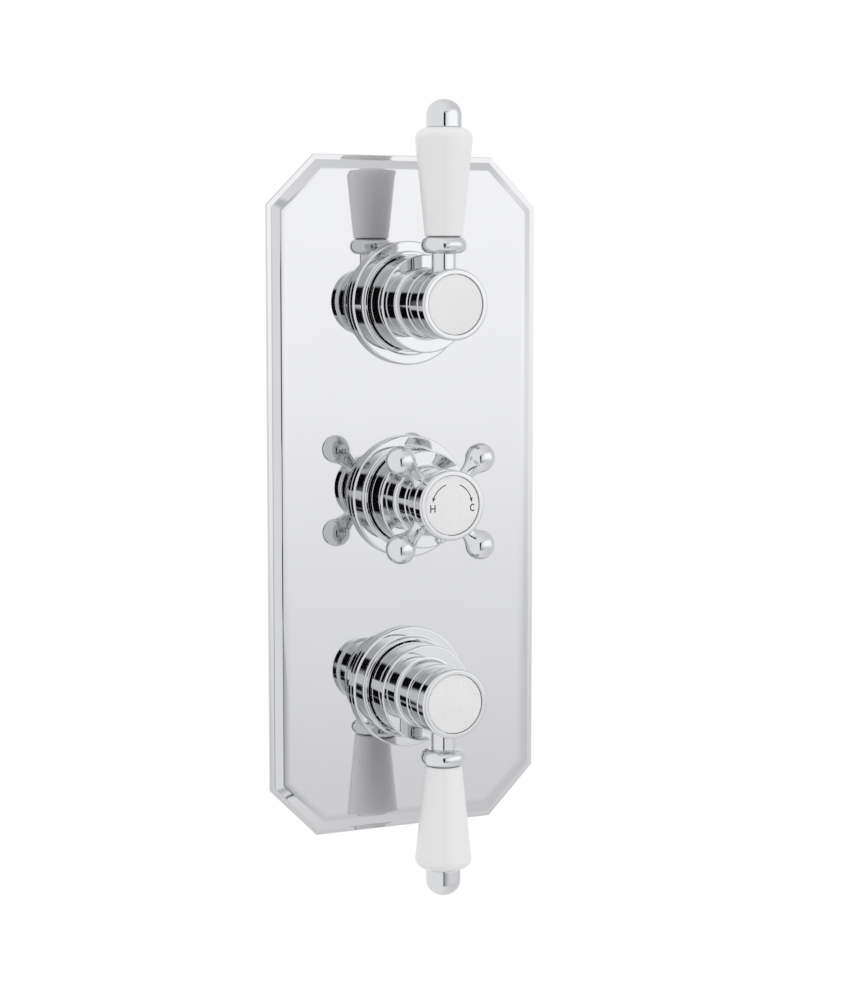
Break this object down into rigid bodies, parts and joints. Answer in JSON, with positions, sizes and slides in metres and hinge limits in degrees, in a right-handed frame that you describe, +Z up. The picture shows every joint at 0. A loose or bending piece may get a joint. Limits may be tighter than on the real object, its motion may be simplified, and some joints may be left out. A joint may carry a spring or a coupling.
{
  "type": "concealed shower valve",
  "caption": "Concealed thermostatic shower valve with an octagonal chromed plate, ceramic lever handles, a ball-ended cross handle and a brass body built into the wall.",
  "frame": {"origin": "middle of the face plate, on the plane of the finished wall", "axes": "+Z is up along the plate and its row of handles, +Y goes into the wall towards the pipework, so the handles face -Y, and +X is to the right seen from the front"},
  "size_m": [0.13, 0.1156, 0.344],
  "materials": {
    "chrome": "polished chrome on brass",
    "brass": "cast and machined",
    "ceramic": "glazed ceramic, satin gloss",
    "index_white": "glazed ceramic, printed",
    "seal_ceramic": "lapped alumina",
    "rubber": "moulded",
    "polymer": "moulded",
    "steel": "bright drawn"
  },
  "bodies": {
    "housing": {"face_plate": "chrome", "plate_seal": "rubber", "valve_body": "brass", "mounting_sleeves": "brass", "o_rings": "rubber", "top_escutcheon": "chrome", "centre_escutcheon": "chrome", "bottom_escutcheon": "chrome", "top_cartridge_bush": "brass", "top_seat_seal": "rubber", "top_fixed_disc": "seal_ceramic", "bottom_cartridge_bush": "brass", "bottom_seat_seal": "rubber", "bottom_fixed_disc": "seal_ceramic", "thermostat_bonnet": "brass", "thermostat_housing": "polymer", "return_spring": "steel", "stop_ring": "polymer", "check_valve_cages": "polymer", "inlet_filters": "steel", "hot_check_spring": "steel", "cold_check_spring": "steel"},
    "top_handle": {"top_moving_disc": "seal_ceramic", "top_spindle": "brass", "top_hub": "chrome", "top_handle_screw": "steel", "top_cap_ring": "chrome", "top_index_disc": "index_white", "top_lever_stem": "chrome", "top_lever_sleeve": "ceramic", "top_finial": "chrome"},
    "bottom_handle": {"bottom_moving_disc": "seal_ceramic", "bottom_spindle": "brass", "bottom_hub": "chrome", "bottom_handle_screw": "steel", "bottom_cap_ring": "chrome", "bottom_index_disc": "index_white", "bottom_lever_stem": "chrome", "bottom_lever_sleeve": "ceramic", "bottom_finial": "chrome"},
    "temperature_handle": {"temperature_spindle": "brass", "centre_hub": "chrome", "ball_arms": "chrome", "centre_handle_screw": "steel", "centre_cap_ring": "chrome", "centre_index_disc": "index_white", "button_spring": "steel"},
    "thermostat_slide": {"thermostat_shuttle": "brass", "wax_element": "brass", "adjuster_nut": "brass"},
    "temperature_button": {"override_button": "chrome"},
    "hot_check": {"hot_check_poppet": "polymer"},
    "cold_check": {"cold_check_poppet": "polymer"}
  },
  "joints": [
    {"name": "top_lever_turn", "type": "hinge", "parent": "housing", "child": "top_handle", "pos_m": [0, 0, 0.0855], "axis": [0, -1, 0], "range_deg": [0, 90]},
    {"name": "bottom_lever_turn", "type": "hinge", "parent": "housing", "child": "bottom_handle", "pos_m": [0, 0, -0.0855], "axis": [0, -1, 0], "range_deg": [0, 90]},
    {"name": "temperature_turn", "type": "hinge", "parent": "housing", "child": "temperature_handle", "pos_m": [0, 0, 0], "axis": [0, -1, 0], "range_deg": [-135, 45]},
    {"name": "shuttle_slide", "type": "slide", "parent": "housing", "child": "thermostat_slide", "axis": [0, 1, 0], "range_m": [-0.0013, 0.00044], "deforming": ["return_spring"]},
    {"name": "button_press", "type": "slide", "parent": "temperature_handle", "child": "temperature_button", "axis": [0, 0, 1], "range_m": [0, 0.0015], "stiffness_N_per_m": 400, "springref_m": -0.002, "deforming": ["button_spring"]},
    {"name": "hot_check_lift", "type": "slide", "parent": "housing", "child": "hot_check", "axis": [1, 0, 0], "range_m": [0, 0.002], "stiffness_N_per_m": 80, "springref_m": -0.002, "deforming": ["hot_check_spring"]},
    {"name": "cold_check_lift", "type": "slide", "parent": "housing", "child": "cold_check", "axis": [-1, 0, 0], "range_m": [0, 0.002], "stiffness_N_per_m": 80, "springref_m": -0.002, "deforming": ["cold_check_spring"]}
  ],
  "couplings": [
    {"joint": "shuttle_slide", "follows": "temperature_turn", "m_per_rad": 0.00055}
  ]
}
